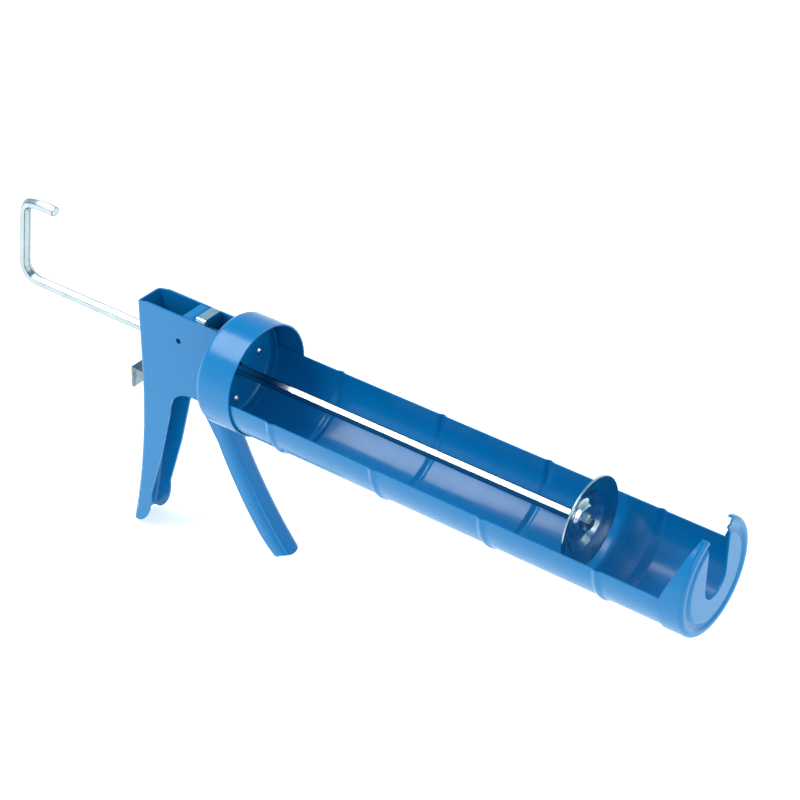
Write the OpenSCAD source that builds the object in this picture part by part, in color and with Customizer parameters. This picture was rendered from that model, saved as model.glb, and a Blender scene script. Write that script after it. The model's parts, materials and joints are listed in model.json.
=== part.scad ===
// Half-barrel caulking gun with a smooth hexagonal push rod.
// The rod's axis is the X axis, the nozzle end is at +X, and Z is up.
// The origin is where the rod's axis crosses the front rim of the collar.

/* [Cradle] */
// Diameter of the cartridge that the cradle takes
cartridge_d = 66.6; // [56:0.1:80]
// Gap all round between the cartridge and the cradle
cartridge_gap = 1.0; // [0.6:0.1:1.6]
// Length from the collar's front rim to the front of the end cap
cradle_l = 318.5; // [240:0.5:400]
// Thickness of the pressed sheet
sheet = 1.0; // [0.8:0.1:1.4]
// Number of pressed beads across the trough
bead_count = 4; // [2:1:6]
// Height of a bead
bead_h = 1.1; // [0.5:0.1:1.8]
// Length of a bead along the trough
bead_l = 7; // [4:0.5:12]

/* [Collar] */
// Depth of the collar, from its front rim to its back
collar_l = 27.3; // [22:0.1:34]
// Outer corner radius at the back of the collar
collar_corner = 4.2; // [3.4:0.1:5]
// Radial gap between the collar and the trough
collar_gap = 0.6; // [0.3:0.1:1]

/* [End cap] */
// Length of the skirt below the trough's rims
skirt_l = 15; // [10:0.5:22]
// Width of the slot for the nozzle
slot_w = 23; // [16:0.5:26]
// Depth of the pressed ring groove in the cap
groove_h = 1.5; // [0.8:0.1:2.5]

/* [Push rod] */
// Size of the hexagonal rod across its flats
rod_af = 6.2; // [5:0.1:7.5]
// Distance from the origin to the rim of the plunger
plunger_x = 237; // [150:1:290]
// Distance from the origin back to the upright leg of the hook
hook_x = 205; // [190:1:260]
// Height of the hook above the rod's axis
hook_h = 57; // [40:1:80]
// Length of the hook's top leg
hook_leg = 20; // [12:1:30]
// Centreline radius of the hook's lower bend
hook_bend = 11; // [9:0.5:13]
// Gap between the plunger and the inside of the trough
plunger_gap = 5.0; // [3:0.1:8]

/* [Handle] */
// Outer width of the handle channel
handle_w = 21; // [17.2:0.1:25]
// Thickness of the handle's and the trigger's steel
plate = 1.5; // [1.2:0.1:1.8]
// Height of the handle above the rod's axis
handle_top = 28.5; // [26:0.5:34]
// Depth of the handle below the rod's axis
handle_drop = 150; // [125:1:180]
// Distance from the origin back to the spine
spine_x = 96.6; // [92:0.1:110]
// Bend radius of the channel's rear corners
handle_bend = 3.0; // [2.2:0.1:3.6]

/* [Trigger] */
// Outer diameter of the hollow pivot pin
pin_d = 6.0; // [5:0.1:7.2]
// Distance from the origin back to the pivot pin
pin_x = 62.6; // [58:0.1:66]
// Height of the pivot pin above the rod's axis
pin_z = 9.6; // [9:0.1:11]
// Length of the trigger below its pin
trigger_l = 156; // [128:1:182]
// Forward lean of the let-go trigger at the level of its pin
trigger_lean = 10; // [7:0.5:13]
// Depth of the trigger's channel
trigger_depth = 10.5; // [8:0.5:13]

/* [Drive and brake] */
// Thickness of one drive plate
drive_t = 2.4; // [1.8:0.1:2.6]
// Height of the drive plates above the rod's axis
drive_top = 31.2; // [27:0.1:35]
// Wire thickness of the drive spring
drive_wire = 1.2; // [0.9:0.1:1.3]
// Wire thickness of the brake spring
brake_wire = 1.1; // [0.8:0.1:1.3]
// Thickness of the release lever
lever_t = 2.0; // [1.5:0.1:2.4]
// Width of the release lever
lever_w = 10; // [8:0.5:12.5]

/* [Hidden] */

$fn = 96;
cut = 1;                                   // how far a cut runs past a face
run = 0.3;                                 // clearance between moving pieces
turn_fit = 0.08;                           // radial clearance of a running fit

blue = "#1f78c8";
steel = "#c9ccd0";
zinc = "#b9c2cc";

// Cradle
trough_r = cartridge_d / 2 + cartridge_gap;
trough_ro = trough_r + sheet;
trough_wrap = 182;                         // angle that the half barrel covers
trough_rear = -(collar_l - sheet - 2.1);
bead_gap = (cradle_l - 9) / bead_count;
bead_first = bead_gap * 0.4;
collar_ri = trough_ro + collar_gap;
collar_ro = collar_ri + sheet;
collar_back = -collar_l;
pan_back = collar_back + sheet;
pan_front = pan_back + 1.2;
pan_l = 7;
rivet_r = 23.5 * trough_r / 34.3;
rivet_d = 3.2;
cap_ro = trough_ro + sheet;
cap_back = cradle_l - 1.2;

// Rod and plunger
rod_ac = rod_af / cos(30);
rod_hole_r = rod_ac / 2 + 0.55;
plunger_r = trough_r - plunger_gap;
plunger_t = 1.2;
hub_x = plunger_x - 3.6;                   // front of the plunger's boss
hub_back = hub_x - plunger_t;
spigot_r = rod_af * 0.42;
rod_end = hub_back - 5.6;                  // where the hexagon stops
hook_lean = 7;                             // forward lean of the upright leg
hook_rise = 12;                            // upward slope where the top leg begins
top_bend = 8;                              // centreline radius of the upper bend
bow = 60;                                  // radius of the bowed top leg

// Handle
inner_w = handle_w - 2 * plate;
front_t = 2.0;
washer_t = 1.0;
washer_front = collar_back - run;
front_x = washer_front - washer_t;         // front face of the front plate
front_back = front_x - front_t;            // front edge of the handle's flanks
front_r = 24;
bush_ri = rod_hole_r + 0.2;
bush_ro = bush_ri + 2.4;
bush_flange = (bush_ro + inner_w / 2) / 2; // midway between the bush and the flanks
retainer_t = 1.5;
spine = -spine_x;
bend_z = -20;                              // where the spine starts to curve
grip_r = 550;                              // radius of the spine's curve
flank_z = -29.5;                           // lower edge of the handle's head
arch_r = 19.5;
arch_x = -54;
toe_back = 4;                              // flat part of the grip's lower end
toe_round = [13, 26];                      // depth and height of the rounded toe

// Trigger and drive
pin_r = pin_d / 2;
trigger_w = inner_w - 2 * run;
cheek_in = trigger_w - 2 * plate;
trigger_web = 6.2;                         // corner radius of the trigger's rounded front
sleeve_r = pin_r + turn_fit + 0.9;
nose_r = 5;
nose_x = -pin_x + 8.4;
nose_z = pin_z + 13.9;
drive_rear = nose_x + nose_r + run;
drive_front = drive_rear + 3 * drive_t;
drive_w = inner_w - 2 * run;
drive_low = -9.5;
trigger_curve = 299.3;                     // radius of the trigger's front face
trigger_centre = [-pin_x, pin_z] + (trigger_curve + 18.6) * [cos(trigger_lean), sin(trigger_lean)];
trigger_end = trigger_lean + trigger_l / (trigger_curve + 5) * 180 / PI;
drive_coil_r = min(5.8, inner_w / 2 - drive_wire / 2 - 0.6);
drive_coil_z = rod_ac / 2 + 0.8 + drive_coil_r + drive_wire / 2 + 4.2;
stud_r = drive_coil_r - drive_wire / 2 - 0.7;

// Brake
guide_x = -pin_x - 12.4;                   // front face of the guide plate
guide_t = 1.6;
lever_pivot = [spine + 1.1, 14];
lever_x = spine + plate + 4.6;             // middle of the lever at its pivot
lever_tilt = 3.4;                          // how far the lever is cocked
lever_exit = -33;                          // height where the lever leaves the spine
tab_out = 12;
tab_l = 14.5;
brake_coil_r = rod_ac / 2 + 0.7 + brake_wire / 2;

// Points on an arc in the plane, from angle a0 to angle a1.
function arc(c, r, a0, a1, n) =
    [for (i = [0:n]) let (a = a0 + (a1 - a0) * i / n) c + r * [cos(a), sin(a)]];

// Distance of the spine from its straight line, at a height below bend_z.
function grip_sweep(z) = z > bend_z ? 0 : grip_r - sqrt(grip_r * grip_r - pow(z - bend_z, 2));

// Height of a bead's crown above the trough at the distance s from its middle.
function bead_at(s) = abs(s) >= bead_l / 2 ? 0 : bead_h * (1 + cos(360 * s / bead_l)) / 2;

// Turns a profile of (radius, position along X) about the X axis.
module spun(angle = 360, start = 0) {
    rotate([0, 90, 0]) rotate([0, 0, start]) rotate_extrude(angle = angle) children();
}

// Ring about the X axis from x0 to x1.
module ring(x0, x1, r_in, r_out) {
    translate([x0, 0, 0]) rotate([0, 90, 0]) difference() {
        cylinder(r = r_out, h = x1 - x0);
        translate([0, 0, -cut]) cylinder(r = r_in, h = x1 - x0 + 2 * cut);
    }
}

// Pushes an outline drawn in X and Z out to the width w, about the middle plane.
module side(w) {
    rotate([90, 0, 0]) linear_extrude(w, center = true) children();
}

// Straight cylinder along X.
module along_x(x0, x1, r) {
    translate([x0, 0, 0]) rotate([0, 90, 0]) cylinder(r = r, h = x1 - x0);
}

// Straight cylinder across the gun.
module across(x, z, r, w) {
    translate([x, 0, z]) rotate([90, 0, 0]) cylinder(r = r, h = w, center = true);
}

// U section that is open towards +X, with rounded corners on its closed side.
module u_filled(w, r, depth) {
    translate([r, -w / 2]) square([depth - r, w]);
    translate([0, -w / 2 + r]) square([depth, w - 2 * r]);
    intersection() {
        union() for (s = [-1, 1]) translate([r, s * (w / 2 - r)]) circle(r = r);
        translate([0, -w / 2]) square([r, w]);
    }
}

module u_section(w, t, r, depth) {
    difference() {
        u_filled(w, r, depth);
        translate([t, 0]) u_filled(w - 2 * t, r - t, depth);
    }
}

// Wire coil along X, with its middle line at the height z.
module coil(x0, x1, z, r, wire, turns) {
    steps = 24;
    sides = 10;
    rings = steps * turns;
    path = [for (i = [0:rings]) let (a = 360 * i / steps, u = i / rings)
        [x0 + wire / 2 + (x1 - x0 - wire) * u, r * sin(a), z + r * cos(a)]];
    points = [for (i = [0:rings]) for (j = [0:sides - 1])
        let (a = 360 * i / steps, b = 360 * j / sides)
        path[i] + wire / 2 * [sin(b), cos(b) * sin(a), cos(b) * cos(a)]];
    walls = [for (i = [0:rings - 1]) for (j = [0:sides - 1])
        let (k = (j + 1) % sides)
        [i * sides + j, i * sides + k, (i + 1) * sides + k, (i + 1) * sides + j]];
    ends = [[for (j = [0:sides - 1]) sides - 1 - j], [for (j = [0:sides - 1]) rings * sides + j]];
    polyhedron(points = points, faces = concat(walls, ends), convexity = 6);
}

// Outline of the handle's flanks in X and Z.
module handle_outline() {
    toe = -handle_drop;
    toe_c = [spine - grip_sweep(toe) + toe_back, toe + toe_round[1]];
    front_low = toe_c + [toe_round[0], 0];
    front_top = [arch_x - arch_r, flank_z - arch_r];
    polygon(concat(
        [[front_back, flank_z], [front_back, handle_top]],
        [[spine + 10, handle_top], [spine - cut, handle_top - 2.4]],
        [for (i = [0:12]) let (z = bend_z + (toe - bend_z) * i / 12) [spine - cut - grip_sweep(z), z]],
        [for (i = [0:8]) let (a = -90 + 90 * i / 8) toe_c + [toe_round[0] * cos(a), toe_round[1] * sin(a)]],
        [(front_low + front_top) / 2 + [1.2, 0]],
        [front_top],
        arc([arch_x, flank_z - arch_r], arch_r, 175, 90, 10)
    ));
}

module handle_channel() {
    deep = spine_x + front_back;
    color(blue) difference() {
        intersection() {
            union() {
                translate([spine, 0, bend_z])
                    linear_extrude(handle_top - bend_z + cut) u_section(handle_w, plate, handle_bend, deep);
                translate([spine - grip_r, 0, bend_z]) rotate([90, 0, 0]) rotate([0, 0, 180])
                    rotate_extrude(angle = 180, $fn = 240)
                    translate([grip_r, 0]) u_section(handle_w, plate, handle_bend, deep);
            }
            side(handle_w + 2) handle_outline();
        }
        across(-pin_x, pin_z, pin_r, handle_w + 2);
        along_x(spine - cut, spine + handle_bend + cut, rod_hole_r + 0.15);
        translate([spine - 3, -4, lever_pivot[1] - 1.8]) cube([8, 8, 3.6]);
        translate([spine - 3, -lever_w / 2 - 0.6, lever_exit - 3.6]) cube([8, lever_w + 1.2, 7]);
    }
}

module handle_front_plate() {
    color(blue) difference() {
        ring(front_back, front_x, bush_ro, front_r);
        translate([front_back - cut, 0, drive_coil_z]) rotate([0, 90, 0])
            cylinder(r = 1.6, h = front_t + 2 * cut);
    }
}

module swivel_bush() {
    color(steel) spun() difference() {
        union() {
            translate([bush_ri, front_back]) square([bush_ro - bush_ri, pan_front + run + retainer_t - front_back]);
            translate([bush_ri, front_back - 1.2]) square([bush_flange - bush_ri, 1.2]);
        }
    }
}

module swivel_washer() {
    color(steel) ring(front_x, washer_front, bush_ro, bush_ro + 5.5);
}

module swivel_retainer() {
    color(blue) ring(pan_front + run, pan_front + run + retainer_t, bush_ro, bush_ro + 2.4);
}

module trigger_pin() {
    color(steel) difference() {
        across(-pin_x, pin_z, pin_r, handle_w);
        across(-pin_x, pin_z, pin_r - 1.0, handle_w + 2);
    }
}

module rod_guide_plate() {
    color(steel) difference() {
        translate([guide_x - guide_t, -inner_w / 2, -9.5]) cube([guide_t, inner_w, 19]);
        along_x(guide_x - guide_t - cut, guide_x + cut, rod_hole_r);
    }
}

module spring_stud() {
    color(steel) translate([0, 0, drive_coil_z]) spun() {
        translate([0, front_back]) square([1.6, front_t]);
        translate([0, front_back - 2.6]) square([stud_r, 2.6]);
    }
}

module drive_spring() {
    color(steel) coil(drive_front + 0.05, front_back - 0.05, drive_coil_z, drive_coil_r, drive_wire, 2.25);
}

module brake_spring() {
    lever_face = lever_x + lever_t / 2 - lever_pivot[1] * tan(lever_tilt);
    color(steel) coil(lever_face + 0.5, guide_x - guide_t - 0.05, 0, brake_coil_r, brake_wire, 4);
}

module collar_cup() {
    inner_corner = collar_corner - sheet;
    color(blue) difference() {
        spun() difference() {
            union() {
                translate([0, collar_back]) square([collar_ro - collar_corner, collar_l]);
                translate([0, collar_back + collar_corner]) square([collar_ro, collar_l - collar_corner]);
                intersection() {
                    translate([collar_ro - collar_corner, collar_back + collar_corner]) circle(r = collar_corner);
                    translate([0, collar_back]) square([collar_ro, collar_l]);
                }
            }
            translate([0, pan_back]) square([collar_ri - inner_corner, collar_l]);
            translate([0, pan_back + inner_corner]) square([collar_ri, collar_l]);
            intersection() {
                translate([collar_ri - inner_corner, pan_back + inner_corner]) circle(r = inner_corner);
                translate([0, pan_back]) square([collar_ri, collar_l]);
            }
        }
        along_x(collar_back - cut, pan_back + cut, bush_ro + turn_fit);
        for (a = [0:90:270]) rotate([a, 0, 0]) translate([0, 0, rivet_r])
            along_x(collar_back - cut, pan_back + cut, rivet_d / 2);
    }
}

module cradle_rear_pan() {
    corner = 3.4;
    color(blue) difference() {
        spun() difference() {
            union() {
                translate([0, pan_back]) square([trough_r - corner, pan_l]);
                translate([0, pan_back + corner]) square([trough_r, pan_l - corner]);
                intersection() {
                    translate([trough_r - corner, pan_back + corner]) circle(r = corner);
                    translate([0, pan_back]) square([trough_r, pan_l]);
                }
            }
            translate([0, pan_front]) square([trough_r - corner, pan_l]);
            translate([0, pan_back + corner]) square([trough_r - 1.2, pan_l]);
            intersection() {
                translate([trough_r - corner, pan_back + corner]) circle(r = corner - 1.2);
                translate([0, pan_front]) square([trough_r, pan_l]);
            }
        }
        along_x(pan_back - cut, pan_front + cut, bush_ro + turn_fit);
        for (a = [0:90:270]) rotate([a, 0, 0]) translate([0, 0, rivet_r])
            along_x(pan_back - cut, pan_front + cut, rivet_d / 2);
    }
}

module cradle_trough() {
    steps = 10;
    beads = [for (i = [0:bead_count - 1]) bead_first + i * bead_gap];
    stops = concat([trough_rear], [for (b = beads) for (i = [0:steps]) b + bead_l * (i / steps - 0.5)], [cap_back]);
    rise = function(x) max([for (b = beads) bead_at(x - b)]);
    outer = [for (x = stops) [trough_ro + rise(x), x]];
    inner = [for (i = [len(stops) - 1:-1:0]) [trough_r + rise(stops[i]), stops[i]]];
    color(blue) spun(trough_wrap, -trough_wrap / 2) polygon(concat(outer, inner));
}

module cradle_rivets() {
    color(steel) for (a = [0:90:270]) rotate([a, 0, 0]) translate([0, 0, rivet_r]) spun() {
        translate([0, collar_back]) square([rivet_d / 2, pan_front - collar_back]);
        translate([0, collar_back - 0.7]) square([rivet_d * 0.75, 0.7]);
        translate([0, pan_front]) intersection() {
            translate([0, -2.0]) circle(r = 3.4);
            square([4, 3]);
        }
    }
}

// Slot for the nozzle, open at the top of the cap.
module nozzle_slot() {
    along_x(cradle_l - 12, cradle_l + 4, slot_w / 2);
    translate([cradle_l - 12, -slot_w / 2, 0]) cube([16, slot_w, cap_ro + 6]);
}

// Rounds the tips of the two horns beside the slot.
module horn_rounding() {
    tip = 2.8;
    off = slot_w / 2 + tip;
    up = sqrt(pow(cap_ro - tip, 2) - off * off);
    near = slot_w / 2 - 0.5;
    for (s = [-1, 1]) translate([cradle_l + 4, 0, 0]) rotate([0, -90, 0]) linear_extrude(24) difference() {
        polygon([[up, s * off], [up, s * near], [up + 12, s * near], [up * 1.3, s * off * 1.3]]);
        translate([up, s * off]) circle(r = tip);
    }
}

module end_cap() {
    rim = 2.6;                             // outer radius of the rolled rim
    flange = cap_ro - rim - 1.2;
    panel = flange - 6;
    // the groove's depth at the radius r, counted from the face
    dip = function(r) groove_h * (1 - cos(360 * (r - panel) / (flange - panel))) / 2;
    radii = [for (i = [0:8]) panel + (flange - panel) * i / 8];
    color(blue) difference() {
        spun() {
            // pressed face: middle panel, ring groove and rolled rim, then the skirt
            polygon(concat(
                [[0, cradle_l]], [for (r = radii) [r, cradle_l - dip(r)]],
                arc([cap_ro - rim, cradle_l - rim], rim, 90, 0, 6),
                [[cap_ro, cradle_l - skirt_l], [trough_ro, cradle_l - skirt_l], [trough_ro, cap_back]],
                [for (i = [8:-1:0]) [radii[i], cap_back - dip(radii[i])]], [[0, cap_back]]
            ));
        }
        translate([0, 0, -1.6]) nozzle_slot();
        horn_rounding();
        // the skirt sweeps up from the trough's rims to the top of the cap
        side(2 * cap_ro + 4) polygon([
            [cradle_l - skirt_l - cut, 1.2], [cradle_l - skirt_l, 1.2],
            [cradle_l - 2.6, cap_ro], [cradle_l - 2.6, cap_ro + 2], [cradle_l - skirt_l - cut, cap_ro + 2]
        ]);
    }
}

// Hexagonal bar that runs up from the plane z = 0. It is a hair thinner than
// the bends and reaches a little way into them, so that they join as one solid.
module hex_bar(l) {
    reach = 0.4;
    translate([0, 0, -reach]) linear_extrude(l + 2 * reach) circle(d = rod_ac - 0.05, $fn = 6);
}

// Bend of the hexagonal bar about an axis at the distance r.
module hex_bend(r, angle) {
    rotate_extrude(angle = angle) translate([r, 0]) circle(d = rod_ac, $fn = 6);
}

module push_rod() {
    first = 90 + hook_lean;                // angle of the lower bend
    second = 90 - hook_lean - hook_rise;   // angle of the upper bend
    start = -hook_x + hook_bend;           // where the lower bend begins
    leg = hook_h - hook_bend - top_bend + 1;
    color(steel) {
        translate([start, 0, 0]) rotate([0, 90, 0]) hex_bar(rod_end - start - 0.4);
        along_x(rod_end - 0.5, hub_x + 4.6, spigot_r);
        translate([start, 0, hook_bend]) rotate([90, 0, 0]) rotate([0, 0, -90 - first]) {
            hex_bend(hook_bend, first);
            translate([hook_bend, 0, 0]) rotate([90, 0, 0]) {
                hex_bar(leg);
                translate([-top_bend, 0, leg]) rotate([-90, 0, 0]) rotate([0, 0, -second]) {
                    hex_bend(top_bend, second);
                    // the top leg: a short straight, then a wide bend that bows it
                    translate([top_bend, 0, 0]) rotate([90, 0, 0]) hex_bar(1);
                    translate([top_bend - bow, -1, 0]) rotate([0, 0, -hook_leg / bow * 180 / PI])
                        hex_bend(bow, hook_leg / bow * 180 / PI);
                }
            }
        }
    }
}

module plunger_disc() {
    t = plunger_t;
    r = plunger_r;
    bottom = hub_x - 3.6;                  // deepest part of the dish
    // outline of the front face, from the hub out to the rim
    face = concat(
        [[spigot_r, hub_x], [r * 0.27, hub_x], [r * 0.31, hub_x - 0.4], [r * 0.37, bottom + 1]],
        [[r * 0.44, bottom], [r * 0.5, bottom + 0.1], [r * 0.58, bottom + 2], [r * 0.66, bottom + 3.9]],
        [[r * 0.8, plunger_x - 2.2], [r * 0.93, plunger_x - 0.9], [r * 0.96, plunger_x], [r, plunger_x]]
    );
    back = [for (i = [len(face) - 1:-1:0]) face[i] - [0, t]];
    color(zinc) spun() polygon(concat(face, back));
}

module plunger_backing() {
    r = plunger_r * 0.27;
    color(zinc) spun() translate([spigot_r, hub_back - 2.6]) square([r - spigot_r, 2.6]);
}

module plunger_washer() {
    color(zinc) ring(rod_end, hub_back - 2.6, spigot_r, rod_ac / 2 + 3);
}

module plunger_nut() {
    nut_af = 2.9 * spigot_r + 1.6;
    color(steel) translate([hub_x, 0, 0]) rotate([0, 90, 0]) difference() {
        cylinder(d = nut_af / cos(30), h = 3.4, $fn = 6);
        translate([0, 0, -cut]) cylinder(r = spigot_r, h = 6);
    }
}

// Point of the trigger at the distance r from the centre of its curve, where it leans by a.
function trigger_at(r, a) = trigger_centre - r * [cos(a), sin(a)];

// Side outline of the part of the trigger that lies inside the handle.
module cheek_outline() {
    px = -pin_x;
    boss = 8;
    polygon(concat(
        [[nose_x + nose_r - 1.6, nose_z - 6], [nose_x + 2, pin_z + 2], [px + 9.5, pin_z - 12]],
        [[drive_rear - 0.8, drive_low - 0.8]],
        [for (a = [6, 13]) trigger_at(trigger_curve + trigger_web + 0.7, trigger_lean + a)],
        [trigger_at(trigger_curve + trigger_depth, trigger_lean + 13)],
        [trigger_at(trigger_curve + trigger_depth + 5.5, trigger_lean + 8), [px - 2.5, pin_z - 15]],
        arc([px, pin_z], boss, 235, 150, 8),
        [[nose_x - 5.5, nose_z + nose_r - 0.4]],
        arc([nose_x, nose_z], nose_r, 90, -20, 8)
    ));
}

// Cuts the trigger's lower end round, seen from the front, and lets its flanks run out.
module tip_cutter() {
    r = trigger_w * 0.6;
    heel = 30;                             // length over which the flanks run out
    back = trigger_curve + trigger_depth;
    sink = trigger_depth - trigger_web - 0.6 + heel * heel / (2 * back);
    heel_r = (heel * heel + sink * sink) / (2 * sink);
    translate([trigger_centre[0], 0, trigger_centre[1]]) rotate([0, 180 - trigger_end, 0]) {
        difference() {
            translate([trigger_curve - 3, -r, -r]) cube([trigger_depth + 6, 2 * r, r + 4]);
            translate([trigger_curve - 4, 0, -r]) rotate([0, 90, 0]) cylinder(r = r, h = trigger_depth + 8);
        }
        rotate([0, heel / back * 180 / PI, 0]) difference() {
            translate([back - 22, -r, 0]) cube([25, 2 * r, heel + 12]);
            translate([back - heel_r + 0.2, 0, 0]) rotate([90, 0, 0]) cylinder(r = heel_r, h = 3 * r, center = true);
        }
    }
}

module trigger_lever() {
    top_a = trigger_lean + 5.2;            // lean where the closed channel starts
    color(blue) difference() {
        union() {
            // the two cheeks on the pin
            intersection() {
                side(trigger_w) cheek_outline();
                for (s = [-1, 1]) translate([-pin_x - 40, s * (trigger_w - plate) / 2 - plate / 2, -90])
                    cube([90, plate, 160]);
            }
            // closed channel that the fingers pull, curved about a centre in front of it
            translate([trigger_centre[0], 0, trigger_centre[1]]) rotate([90, 0, 0]) rotate([0, 0, 180 + top_a])
                rotate_extrude(angle = trigger_end - top_a, $fn = 240)
                translate([trigger_curve, 0]) u_section(trigger_w, plate, trigger_web, trigger_depth);
            // bar across the top that pushes the drive plates
            side(trigger_w) difference() {
                union() {
                    translate([nose_x, nose_z]) circle(r = nose_r);
                    translate([nose_x - 5.5, nose_z + nose_r - plate]) square([5.5, plate]);
                }
                translate([nose_x, nose_z]) circle(r = nose_r - plate);
                translate([nose_x - 10, nose_z - 10]) square([10, 10 + nose_r - plate]);
                translate([nose_x - 10, nose_z - 14]) square([20, 10]);
            }
        }
        across(-pin_x, pin_z, pin_r + turn_fit, trigger_w + 2);
        tip_cutter();
    }
}

module trigger_sleeve() {
    color(steel) difference() {
        across(-pin_x, pin_z, sleeve_r, cheek_in);
        across(-pin_x, pin_z, pin_r + turn_fit, cheek_in + 2);
    }
}

// One grip plate, standing on the rod. The number counts from the rear.
module drive_plate(number) {
    x0 = drive_rear + number * drive_t;
    corner = 2.5;
    color(zinc) difference() {
        union() {
            translate([x0, -drive_w / 2, drive_low + corner]) cube([drive_t, drive_w, drive_top - drive_low - 2 * corner]);
            translate([x0, -drive_w / 2 + corner, drive_low]) cube([drive_t, drive_w - 2 * corner, drive_top - drive_low]);
            for (s = [-1, 1]) for (z = [drive_low + corner, drive_top - corner])
                translate([x0, s * (drive_w / 2 - corner), z]) rotate([0, 90, 0]) cylinder(r = corner, h = drive_t);
        }
        along_x(x0 - cut, x0 + drive_t + cut, rod_hole_r);
    }
}

module drive_plate_rear() { drive_plate(0); }
module drive_plate_middle() { drive_plate(1); }
module drive_plate_front() { drive_plate(2); }

module release_lever() {
    half = lever_t / 2;
    top = lever_pivot[1];
    // the lever is drawn upright, then cocked about its pivot in the spine
    color(zinc) translate([lever_pivot[0], 0, top]) rotate([0, lever_tilt, 0]) {
        reach = lever_x - lever_pivot[0];
        drop = top - lever_exit;
        difference() {
            translate([reach - half, -lever_w / 2, -drop]) cube([lever_t, lever_w, drop + half]);
            translate([reach - half - cut, 0, -top]) rotate([0, 90, 0]) cylinder(r = rod_hole_r + 0.1, h = lever_t + 2 * cut);
        }
        translate([-1.2, -3, -half]) cube([reach + 1.2, 6, lever_t]);
        translate([-tab_out, -lever_w / 2, -drop - half]) cube([reach + tab_out + half, lever_w, lever_t]);
        translate([-tab_out, -lever_w / 2, -drop - tab_l]) cube([lever_t, lever_w, tab_l]);
    }
}

handle_channel();
handle_front_plate();
swivel_bush();
swivel_washer();
swivel_retainer();
trigger_pin();
rod_guide_plate();
spring_stud();
drive_spring();
brake_spring();
collar_cup();
cradle_rear_pan();
cradle_trough();
cradle_rivets();
end_cap();
push_rod();
plunger_disc();
plunger_backing();
plunger_washer();
plunger_nut();
trigger_lever();
trigger_sleeve();
drive_plate_rear();
drive_plate_middle();
drive_plate_front();
release_lever();
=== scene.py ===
import json
import math
import bpy
import numpy as np
from mathutils import Matrix, Vector


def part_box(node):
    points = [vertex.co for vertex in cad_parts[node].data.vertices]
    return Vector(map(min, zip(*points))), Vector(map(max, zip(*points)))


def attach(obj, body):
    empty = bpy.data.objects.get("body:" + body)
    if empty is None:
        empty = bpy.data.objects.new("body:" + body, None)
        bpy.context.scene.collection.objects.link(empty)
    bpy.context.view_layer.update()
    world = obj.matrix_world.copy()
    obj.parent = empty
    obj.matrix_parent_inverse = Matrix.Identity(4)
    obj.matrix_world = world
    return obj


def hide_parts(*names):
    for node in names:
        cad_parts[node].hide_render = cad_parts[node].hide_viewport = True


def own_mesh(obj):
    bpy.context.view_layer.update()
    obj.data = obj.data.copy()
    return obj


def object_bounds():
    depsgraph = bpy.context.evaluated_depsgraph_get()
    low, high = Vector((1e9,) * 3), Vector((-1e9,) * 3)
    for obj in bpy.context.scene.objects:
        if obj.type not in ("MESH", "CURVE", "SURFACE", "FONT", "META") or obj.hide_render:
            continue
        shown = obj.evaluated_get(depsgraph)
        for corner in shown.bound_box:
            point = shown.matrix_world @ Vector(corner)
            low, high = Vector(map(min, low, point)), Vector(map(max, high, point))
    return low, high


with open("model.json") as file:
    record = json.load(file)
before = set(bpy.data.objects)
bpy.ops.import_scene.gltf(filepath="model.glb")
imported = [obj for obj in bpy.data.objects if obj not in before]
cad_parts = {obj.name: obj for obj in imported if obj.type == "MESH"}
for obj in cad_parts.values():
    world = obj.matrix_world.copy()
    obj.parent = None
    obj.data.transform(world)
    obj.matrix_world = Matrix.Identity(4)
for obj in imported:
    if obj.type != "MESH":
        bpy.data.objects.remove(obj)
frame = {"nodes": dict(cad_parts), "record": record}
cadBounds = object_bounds()
print("frame loaded")

# Shader helpers

def newMaterial(name):
    mat = bpy.data.materials.new(name)
    mat.use_nodes = True
    tree = mat.node_tree
    tree.nodes.clear()
    out = tree.nodes.new("ShaderNodeOutputMaterial")
    bsdf = tree.nodes.new("ShaderNodeBsdfPrincipled")
    tree.links.new(bsdf.outputs["BSDF"], out.inputs["Surface"])
    return mat, tree, bsdf


def addNode(tree, kind, values=None, **settings):
    node = tree.nodes.new(kind)
    for key, value in settings.items():
        setattr(node, key, value)
    for key, value in (values or {}).items():
        node.inputs[key].default_value = value
    return node


def newGroup(name, inputs, outputs):
    group = bpy.data.node_groups.new(name, "ShaderNodeTree")
    for label, kind, value in inputs:
        socket = group.interface.new_socket(label, in_out="INPUT", socket_type=kind)
        if value is not None:
            socket.default_value = value
    for label, kind in outputs:
        group.interface.new_socket(label, in_out="OUTPUT", socket_type=kind)
    start = group.nodes.new("NodeGroupInput")
    end = group.nodes.new("NodeGroupOutput")
    return group, start, end


def useGroup(tree, group, **values):
    node = tree.nodes.new("ShaderNodeGroup")
    node.node_tree = group
    for key, value in values.items():
        node.inputs[key].default_value = value
    return node


def mathNode(tree, operation, a, b=None, clamp=False):
    node = addNode(tree, "ShaderNodeMath", operation=operation, use_clamp=clamp)
    for slot, value in enumerate((a, b)):
        if value is None:
            continue
        if isinstance(value, (int, float)):
            node.inputs[slot].default_value = value
        else:
            tree.links.new(value, node.inputs[slot])
    return node.outputs[0]


def mixColor(tree, factor, a, b):
    node = addNode(tree, "ShaderNodeMix", data_type="RGBA")
    for slot, value in ((0, factor), (6, a), (7, b)):
        if isinstance(value, (int, float, tuple)):
            node.inputs[slot].default_value = value
        else:
            tree.links.new(value, node.inputs[slot])
    return node.outputs[2]


# Shared effects

masks = {
    "edgeCut": 0.45,   # edges fainter than this stay unmarked
    "dustCut": 0.45,   # noise below this carries no dust
}


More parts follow.
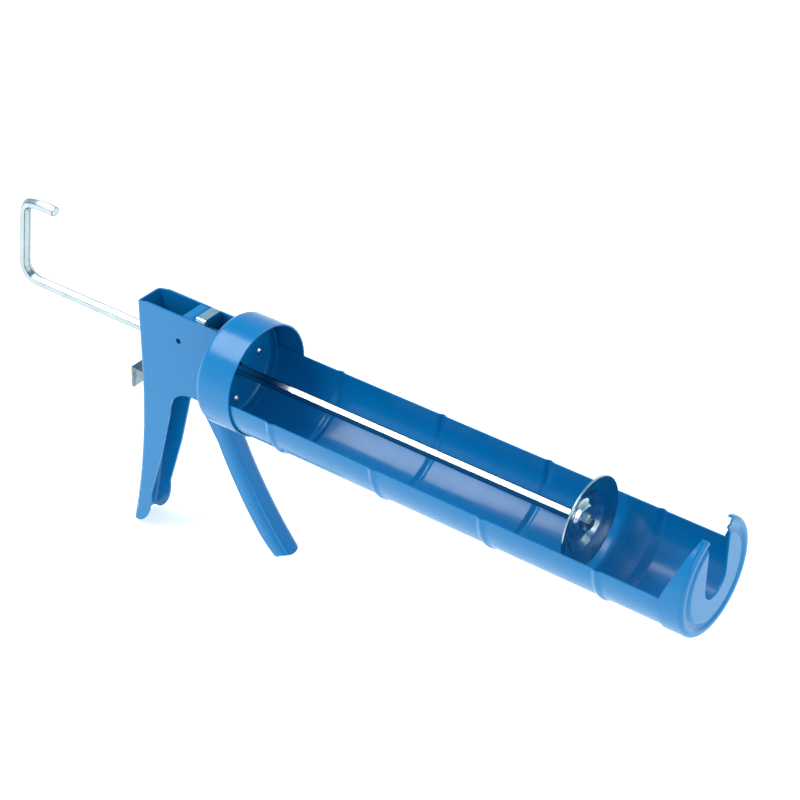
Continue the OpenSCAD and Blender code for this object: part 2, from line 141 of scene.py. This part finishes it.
def makeEdgeWearAndShade():
    # a mask that is 1 along sharp edges, broken up by noise; the enamel and the zinc use it for edge wear, the rod
    # and the plain steel for painted dark edge lines
    group, start, end = newGroup(
        "edgeWearAndShade",
        [
            ("Radius", "NodeSocketFloat", 0.0006),
            ("Scale", "NodeSocketFloat", 300.0),
            ("Gain", "NodeSocketFloat", 9.0),
            ("Amount", "NodeSocketFloat", 0.5),
        ],
        [("Mask", "NodeSocketFloat")],
    )
    bevel = addNode(group, "ShaderNodeBevel", samples=4)
    group.links.new(start.outputs["Radius"], bevel.inputs["Radius"])
    geometry = addNode(group, "ShaderNodeNewGeometry")
    dot = addNode(group, "ShaderNodeVectorMath", operation="DOT_PRODUCT")
    group.links.new(bevel.outputs[0], dot.inputs[0])
    group.links.new(geometry.outputs["Normal"], dot.inputs[1])
    coords = addNode(group, "ShaderNodeTexCoord")
    noise = addNode(group, "ShaderNodeTexNoise", {"Detail": 6.0, "Roughness": 0.65})
    group.links.new(coords.outputs["Object"], noise.inputs["Vector"])
    group.links.new(start.outputs["Scale"], noise.inputs["Scale"])
    edge = mathNode(group, "SUBTRACT", 1.0, dot.outputs["Value"], clamp=True)
    gain = mathNode(group, "MULTIPLY", noise.outputs["Fac"], start.outputs["Gain"])
    broken = mathNode(group, "MULTIPLY", edge, gain)
    above = mathNode(group, "SUBTRACT", broken, masks["edgeCut"], clamp=True)
    kept = mathNode(group, "MULTIPLY", above, start.outputs["Amount"], clamp=True)
    group.links.new(kept, end.inputs["Mask"])
    return group


def makeDust():
    # a mask for fine dust that lies on faces that look up
    group, start, end = newGroup("dust", [("Scale", "NodeSocketFloat", 90.0)], [("Mask", "NodeSocketFloat")])
    geometry = addNode(group, "ShaderNodeNewGeometry")
    split = addNode(group, "ShaderNodeSeparateXYZ")
    group.links.new(geometry.outputs["Normal"], split.inputs[0])
    coords = addNode(group, "ShaderNodeTexCoord")
    noise = addNode(group, "ShaderNodeTexNoise", {"Detail": 8.0, "Roughness": 0.7})
    group.links.new(coords.outputs["Object"], noise.inputs["Vector"])
    group.links.new(start.outputs["Scale"], noise.inputs["Scale"])
    up = mathNode(group, "MAXIMUM", split.outputs["Z"], 0.0)
    patch = mathNode(group, "SUBTRACT", noise.outputs["Fac"], masks["dustCut"], clamp=True)
    group.links.new(mathNode(group, "MULTIPLY", up, patch, clamp=True), end.inputs["Mask"])
    return group


def makeGrain():
    # streaks along X, as drawing or brushing leaves them
    group, start, end = newGroup(
        "drawnGrain",
        [("Fine", "NodeSocketFloat", 2600.0), ("Stretch", "NodeSocketFloat", 0.02)],
        [("Value", "NodeSocketFloat")],
    )
    coords = addNode(group, "ShaderNodeTexCoord")
    join = addNode(group, "ShaderNodeCombineXYZ", {"Y": 1.0, "Z": 1.0})
    group.links.new(start.outputs["Stretch"], join.inputs["X"])
    stretch = addNode(group, "ShaderNodeVectorMath", operation="MULTIPLY")
    group.links.new(coords.outputs["Object"], stretch.inputs[0])
    group.links.new(join.outputs[0], stretch.inputs[1])
    noise = addNode(group, "ShaderNodeTexNoise", {"Detail": 4.0, "Roughness": 0.6})
    group.links.new(stretch.outputs[0], noise.inputs["Vector"])
    group.links.new(start.outputs["Fine"], noise.inputs["Scale"])
    group.links.new(noise.outputs["Fac"], end.inputs["Value"])
    return group


edgeWearAndShade = makeEdgeWearAndShade()
dust = makeDust()
drawnGrain = makeGrain()

# Materials

enamel = {
    "color": (0.002, 0.215, 0.490, 1.0),
    "deepColor": (0.001, 0.185, 0.440, 1.0),
    "wornColor": (0.012, 0.110, 0.340, 1.0),
    "dustColor": (0.42, 0.45, 0.50, 1.0),
    "roughness": (0.16, 0.30),
    "cloudScale": 22.0,
    "smudgeScale": 60.0,
    "peelScale": 420.0,
    "peelHeight": 0.00004,
    "peelStrength": 0.35,
    "edge": 0.0005,
    "edgeScale": 380.0,
    "wearAndShade": 0.35,
    "wornRoughness": 0.3,
    "dust": 0.03,
    "dustScale": 140.0,
    "ior": 1.52,
    "specular": 0.35,
    "coat": 0.12,
    "coatRoughness": 0.08,
}


def makeEnamel(name, spec):
    mat, tree, bsdf = newMaterial(name)
    coords = addNode(tree, "ShaderNodeTexCoord")
    cloud = addNode(tree, "ShaderNodeTexNoise", {"Scale": spec["cloudScale"], "Detail": 5.0, "Roughness": 0.6})
    tree.links.new(coords.outputs["Object"], cloud.inputs["Vector"])
    base = mixColor(tree, cloud.outputs["Fac"], spec["deepColor"], spec["color"])
    wearAndShade = useGroup(tree, edgeWearAndShade, Radius=spec["edge"], Scale=spec["edgeScale"], Amount=spec["wearAndShade"])
    film = useGroup(tree, dust, Scale=spec["dustScale"])
    wornAndShadedEdges = mixColor(tree, wearAndShade.outputs["Mask"], base, spec["wornColor"])
    dusty = mathNode(tree, "MULTIPLY", film.outputs["Mask"], spec["dust"])
    tree.links.new(mixColor(tree, dusty, wornAndShadedEdges, spec["dustColor"]), bsdf.inputs["Base Color"])
    low, high = spec["roughness"]
    smudge = addNode(tree, "ShaderNodeTexNoise", {"Scale": spec["smudgeScale"], "Detail": 6.0, "Roughness": 0.65})
    tree.links.new(coords.outputs["Object"], smudge.inputs["Vector"])
    span = {"From Min": 0.3, "From Max": 0.75, "To Min": low, "To Max": high}
    rough = addNode(tree, "ShaderNodeMapRange", span)
    tree.links.new(smudge.outputs["Fac"], rough.inputs["Value"])
    scuffed = mathNode(tree, "MULTIPLY", wearAndShade.outputs["Mask"], spec["wornRoughness"])
    tree.links.new(mathNode(tree, "ADD", rough.outputs[0], scuffed), bsdf.inputs["Roughness"])
    peel = addNode(tree, "ShaderNodeTexNoise", {"Scale": spec["peelScale"], "Detail": 2.0, "Roughness": 0.5})
    tree.links.new(coords.outputs["Object"], peel.inputs["Vector"])
    bump = addNode(tree, "ShaderNodeBump", {"Strength": spec["peelStrength"], "Distance": spec["peelHeight"]})
    tree.links.new(peel.outputs["Fac"], bump.inputs["Height"])
    tree.links.new(bump.outputs[0], bsdf.inputs["Normal"])
    bsdf.inputs["IOR"].default_value = spec["ior"]
    bsdf.inputs["Specular IOR Level"].default_value = spec["specular"]
    bsdf.inputs["Coat Weight"].default_value = spec["coat"]
    bsdf.inputs["Coat Roughness"].default_value = spec["coatRoughness"]
    return mat


# noise settings shared by the steels, and the painted dark reflection on faces seen edge-on
steelNoiseAndPaintedReflection = {
    "cloudScale": 75.0,
    "edgeScale": 500.0,
    "bump": 0.3,
    "facing": (0.62, 0.88),   # how edge-on a face has to be before the painted dark reflection starts
    "paintedDarkReflection": (0.04, 0.04, 0.04, 1.0),
}
rodSteel = {
    "color": (0.52, 0.60, 0.61, 1.0),
    "darkColor": (0.40, 0.47, 0.48, 1.0),
    # edgeColor is painted shade: near-black lines along the rod's edges that stand for the dark surroundings they
    # would reflect
    "edgeColor": (0.05, 0.048, 0.042, 1.0),
    "roughness": (0.14, 0.28), "fine": 2600.0, "stretch": 0.02, "height": 0.00003,
    "edge": 0.0011, "gain": 260.0, "wearAndShade": 1.0, "paintedGrazingReflection": 0.85,
}
plainSteel = {
    "color": (0.74, 0.77, 0.79, 1.0),
    "darkColor": (0.48, 0.51, 0.53, 1.0),
    # edgeColor is painted shade: dark grey lines along the edges that stand for reflected dark surroundings
    "edgeColor": (0.20, 0.20, 0.20, 1.0),
    "roughness": (0.18, 0.36), "fine": 900.0, "stretch": 0.5, "height": 0.00003,
    "edge": 0.0004, "gain": 9.0, "wearAndShade": 0.5, "paintedGrazingReflection": 0.3,
}
zinc = {
    "color": (0.60, 0.72, 0.76, 1.0),
    "darkColor": (0.40, 0.53, 0.58, 1.0),
    "edgeColor": (0.70, 0.74, 0.76, 1.0),
    "roughness": (0.10, 0.24), "fine": 500.0, "stretch": 1.0, "height": 0.00002,
    "edge": 0.0004, "gain": 9.0, "wearAndShade": 0.4, "paintedGrazingReflection": 0.3,
}
dullZinc = dict(zinc, color=(0.30, 0.35, 0.37, 1.0), darkColor=(0.15, 0.19, 0.21, 1.0))


def makeSteel(name, spec):
    mat, tree, bsdf = newMaterial(name)
    grain = useGroup(tree, drawnGrain, Fine=spec["fine"], Stretch=spec["stretch"])
    coords = addNode(tree, "ShaderNodeTexCoord")
    clouds = {"Scale": steelNoiseAndPaintedReflection["cloudScale"], "Detail": 6.0, "Roughness": 0.6}
    cloud = addNode(tree, "ShaderNodeTexNoise", clouds)
    tree.links.new(coords.outputs["Object"], cloud.inputs["Vector"])
    total = mathNode(tree, "ADD", grain.outputs["Value"], cloud.outputs["Fac"])
    blend = mathNode(tree, "MULTIPLY", total, 0.5)
    tone = addNode(tree, "ShaderNodeMapRange", {"From Min": 0.35, "From Max": 0.6})
    tree.links.new(blend, tone.inputs["Value"])
    base = mixColor(tree, tone.outputs[0], spec["darkColor"], spec["color"])
    wearAndShade = useGroup(
        tree, edgeWearAndShade, Radius=spec["edge"], Scale=steelNoiseAndPaintedReflection["edgeScale"], Gain=spec["gain"], Amount=spec["wearAndShade"]
    )
    # on the rod and the plain steel the edge colour is painted shade, dark lines standing for reflected dark
    # surroundings; on the zinc it is lighter wear
    wornAndShadedEdges = mixColor(tree, wearAndShade.outputs["Mask"], base, spec["edgeColor"])
    # painted reflection: faces seen at a grazing angle are mixed towards a dark colour that stands for the dark
    # room they would mirror
    layer = addNode(tree, "ShaderNodeLayerWeight", {"Blend": 0.5})
    start, stop = steelNoiseAndPaintedReflection["facing"]
    paintedGrazingReflection = addNode(tree, "ShaderNodeMapRange", {"From Min": start, "From Max": stop, "To Max": spec["paintedGrazingReflection"]})
    tree.links.new(layer.outputs["Facing"], paintedGrazingReflection.inputs["Value"])
    shaded = mixColor(tree, paintedGrazingReflection.outputs[0], wornAndShadedEdges, steelNoiseAndPaintedReflection["paintedDarkReflection"])
    tree.links.new(shaded, bsdf.inputs["Base Color"])
    low, high = spec["roughness"]
    span = {"From Min": 0.3, "From Max": 0.7, "To Min": high, "To Max": low}
    rough = addNode(tree, "ShaderNodeMapRange", span)
    tree.links.new(blend, rough.inputs["Value"])
    tree.links.new(rough.outputs[0], bsdf.inputs["Roughness"])
    bump = addNode(tree, "ShaderNodeBump", {"Strength": steelNoiseAndPaintedReflection["bump"], "Distance": spec["height"]})
    tree.links.new(grain.outputs["Value"], bump.inputs["Height"])
    tree.links.new(bump.outputs[0], bsdf.inputs["Normal"])
    bsdf.inputs["Metallic"].default_value = 1.0
    return mat


blueEnamel = makeEnamel("blueEnamel", enamel)
brightRod = makeSteel("drawnSteel", rodSteel)
brightSteel = makeSteel("plainSteel", plainSteel)
zincPlate = makeSteel("zincPlate", zinc)
dullPlate = makeSteel("dullPlate", dullZinc)
ownFinish = {"push_rod": brightRod, "release_lever": dullPlate}
print("materials made")

slotOf = {row["node"]: row["material_slot"] for row in frame["record"]["subparts"]}
finishes = {"blue_enamel": blueEnamel, "bright_steel": brightSteel, "zinc_plate": zincPlate}
redrawn = ("drive_spring", "brake_spring", "plunger_disc")
softEdge = {"width": 0.00025, "segments": 2, "angle": 40.0}
for name, node in frame["nodes"].items():
    node.data.materials.clear()
    node.data.materials.append(ownFinish.get(name, finishes[slotOf[name]]))
    if name in redrawn:
        continue
    soften = node.modifiers.new("soften", "BEVEL")
    soften.width = softEdge["width"]
    soften.segments = softEdge["segments"]
    soften.limit_method = "ANGLE"
    soften.angle_limit = math.radians(softEdge["angle"])
    soften.harden_normals = True
print("frame painted")

# New pieces

def gridPiece(name, points, closed, material, capped=False):
    # Points form a grid (ring, place in the ring, xyz). Each ring joins the next, and the last joins the first
    # if the piece is closed.
    rings, sides, _ = points.shape
    ring, side = np.meshgrid(np.arange(rings if closed else rings - 1), np.arange(sides), indexing="ij")
    here, there = ring * sides, (ring + 1) % rings * sides
    across = (side + 1) % sides
    quads = np.stack([here + side, here + across, there + across, there + side], axis=-1).reshape(-1, 4).tolist()
    if capped:
        quads += [list(range(sides))[::-1], list(range((rings - 1) * sides, rings * sides))]
    mesh = bpy.data.meshes.new(name)
    mesh.from_pydata(points.reshape(-1, 3).tolist(), [], quads)
    mesh.polygons.foreach_set("use_smooth", np.ones(len(quads), bool))
    mesh.materials.append(material)
    mesh.update()
    obj = bpy.data.objects.new(name, mesh)
    bpy.context.collection.objects.link(obj)
    return obj


springs = {
    "drive_spring": {
        "piece": "driveCoil", "joint": "drive_stroke", "turns": 3.25, "wire": 0.0012, "sides": 20, "steps": 72,
    },
    "brake_spring": {
        "piece": "brakeCoil", "joint": "release_press", "turns": 5.0, "wire": 0.0011, "sides": 18, "steps": 64,
    },
}
endCoils = {"pitch": 0.28, "start": 0.35, "span": 0.6, "gain": 2.0}


def makeCoil(node, spec):
    # Wire of constant thickness swept along a helix about X. The angle grows evenly along the wire, and the
    # place along X grows slowly over the first and last turn, so that the end coils lie closed.
    low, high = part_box(node)
    wire = spec["wire"]
    middle = (low.z + high.z) / 2
    radius = (high.z - low.z) / 2 - wire / 2
    count = int(spec["turns"] * spec["steps"])
    t = np.linspace(0.0, 1.0, count + 1)
    angle = 2 * math.pi * spec["turns"] * t
    fromEnd = np.minimum(t, 1 - t) * spec["turns"] - endCoils["start"]
    pitch = endCoils["pitch"] + np.clip(fromEnd, 0.0, endCoils["span"]) * endCoils["gain"]
    travel = np.concatenate([[0.0], np.cumsum((pitch[1:] + pitch[:-1]) / 2)])
    along = low.x + wire / 2 + (high.x - low.x - wire) * travel / travel[-1]
    turn = 2 * math.pi * np.arange(spec["sides"]) / spec["sides"]
    reach = radius + wire / 2 * np.cos(turn)[None, :]
    x = along[:, None] + wire / 2 * np.sin(turn)[None, :]
    points = np.stack([x, reach * np.sin(angle)[:, None], middle + reach * np.cos(angle)[:, None]], axis=-1)
    coil = gridPiece(spec["piece"], points, False, brightSteel, capped=True)
    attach(coil, "handle")
    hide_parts(node)
    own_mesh(coil)


dish = {
    "thickness": 0.0012,
    "hub": 0.0026,
    "radii": (0.08, 0.27, 0.31, 0.37, 0.44, 0.50, 0.58, 0.66, 0.80, 0.93, 0.97, 1.0),
    "depths": (3.6, 3.6, 4.0, 6.2, 7.2, 7.1, 5.2, 3.3, 2.2, 0.9, 0.3, 0.0),
    "acrossSteps": 150,
    "aroundSteps": 144,
    "lipSteps": 9,
    "smoothing": 13,
}


def makeDish():
    # Plate of constant thickness turned about X. Its front follows a smoothed curve of depth behind the rim
    # against radius: a boss round the rod, a ring-shaped hollow, then a cone out to a rounded rim.
    low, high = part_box("plunger_disc")
    outer, half = high.y, dish["thickness"] / 2
    rim = high.x - half
    r = np.linspace(dish["hub"], outer - half, dish["acrossSteps"])
    depth = np.interp(r / outer, dish["radii"], np.array(dish["depths"]) / 1000.0)
    window = np.hanning(dish["smoothing"])[1:-1]
    padded = np.pad(depth, len(window) // 2, mode="edge")
    depth = np.convolve(padded, window / window.sum(), mode="valid")
    depth = depth - depth[-1]
    roll = np.linspace(math.pi / 2, -math.pi / 2, dish["lipSteps"])[1:-1]
    front = np.stack([r, rim + half - depth], axis=-1)
    lip = np.stack([outer - half + half * np.cos(roll), rim + half * np.sin(roll)], axis=-1)
    back = np.stack([r, rim - half - depth], axis=-1)[::-1]
    profile = np.concatenate([front, lip, back])
    turn = 2 * math.pi * np.arange(dish["aroundSteps"]) / dish["aroundSteps"]
    points = np.stack([
        np.broadcast_to(profile[None, :, 1], (len(turn), len(profile))),
        profile[None, :, 0] * np.cos(turn)[:, None],
        profile[None, :, 0] * np.sin(turn)[:, None],
    ], axis=-1)
    piece = gridPiece("plungerDish", points, True, zincPlate)
    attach(piece, "rod")
    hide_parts("plunger_disc")


for name, spec in springs.items():
    makeCoil(name, spec)
makeDish()
print("springs and plunger made")

# Stage: floor, softboxes and camera

studio = {
    "floorDrop": 0.002,
    "floorHalf": 6.0,
    "floorColor": (0.92, 0.87, 0.80, 1.0),
    "floorGlow": 0.60,
    "horizon": (1.0, 1.0, 1.0, 1.0),
    "zenith": (0.18, 0.44, 0.66, 1.0),
    "zenithAt": 0.75,
    "skyStrength": 0.95,
    "cameraPlace": (0.7656, -0.8969, 0.7864),
    "cameraAim": (0.1055, -0.0047, 0.0320),
    "cameraRoll": 0.63,
    "lens": 103.5,
    "sensorWidth": 36.0,
}


def makeFloor():
    z = float(cadBounds[0][2]) - studio["floorDrop"]
    mesh = bpy.data.meshes.new("floor")
    h = studio["floorHalf"]
    mesh.from_pydata([(-h, -h, z), (h, -h, z), (h, h, z), (-h, h, z)], [], [(0, 1, 2, 3)])
    floor = bpy.data.objects.new("floor", mesh)
    bpy.context.collection.objects.link(floor)
    mat, tree, bsdf = newMaterial("paper")
    bsdf.inputs["Base Color"].default_value = studio["floorColor"]
    bsdf.inputs["Roughness"].default_value = 0.9
    bsdf.inputs["Emission Color"].default_value = (1.0, 1.0, 1.0, 1.0)
    bsdf.inputs["Emission Strength"].default_value = studio["floorGlow"]
    mesh.materials.append(mat)
    return floor


def aim(obj, target, roll=0.0):
    direction = Vector(target) - obj.location
    turn = direction.to_track_quat("-Z", "Y")
    obj.rotation_euler = (turn.to_matrix() @ Matrix.Rotation(math.radians(roll), 3, "Z")).to_euler()


lights = {
    "keyLight": {"place": (-0.62, -0.30, 1.06), "target": (0.05, 0.0, 0.0), "size": (0.9, 0.7), "power": 12.0},
    "fillLight": {"place": (1.5, -0.25, 0.75), "target": (0.1, 0.0, 0.0), "size": (0.9, 0.9), "power": 5.0},
}


def makeLight(name, place, target, size, power):
    light = bpy.data.lights.new(name, "AREA")
    light.shape = "RECTANGLE"
    light.size, light.size_y = size
    light.energy = power
    obj = bpy.data.objects.new(name, light)
    bpy.context.collection.objects.link(obj)
    obj.location = place
    aim(obj, target)


def makeSky():
    # white at the horizon, fading to blue towards the zenith
    world = bpy.data.worlds.new("studioSky")
    world.use_nodes = True
    sky = world.node_tree
    direction = addNode(sky, "ShaderNodeTexCoord")
    height = addNode(sky, "ShaderNodeSeparateXYZ")
    sky.links.new(direction.outputs["Generated"], height.inputs[0])
    rise = addNode(sky, "ShaderNodeMapRange", {"From Min": 0.0, "From Max": studio["zenithAt"]})
    sky.links.new(height.outputs["Z"], rise.inputs["Value"])
    color = mixColor(sky, rise.outputs[0], studio["horizon"], studio["zenith"])
    background = sky.nodes["Background"]
    sky.links.new(color, background.inputs["Color"])
    background.inputs["Strength"].default_value = studio["skyStrength"]
    bpy.context.scene.world = world


def makeCamera():
    data = bpy.data.cameras.new("camera")
    data.lens = studio["lens"]
    data.sensor_width = studio["sensorWidth"]
    obj = bpy.data.objects.new("camera", data)
    bpy.context.collection.objects.link(obj)
    obj.location = studio["cameraPlace"]
    aim(obj, studio["cameraAim"], studio["cameraRoll"])
    bpy.context.scene.camera = obj


floor = makeFloor()
for name, spec in lights.items():
    makeLight(name, **spec)
makeSky()
makeCamera()
bpy.context.scene.view_settings.view_transform = "Standard"
print("stage set")
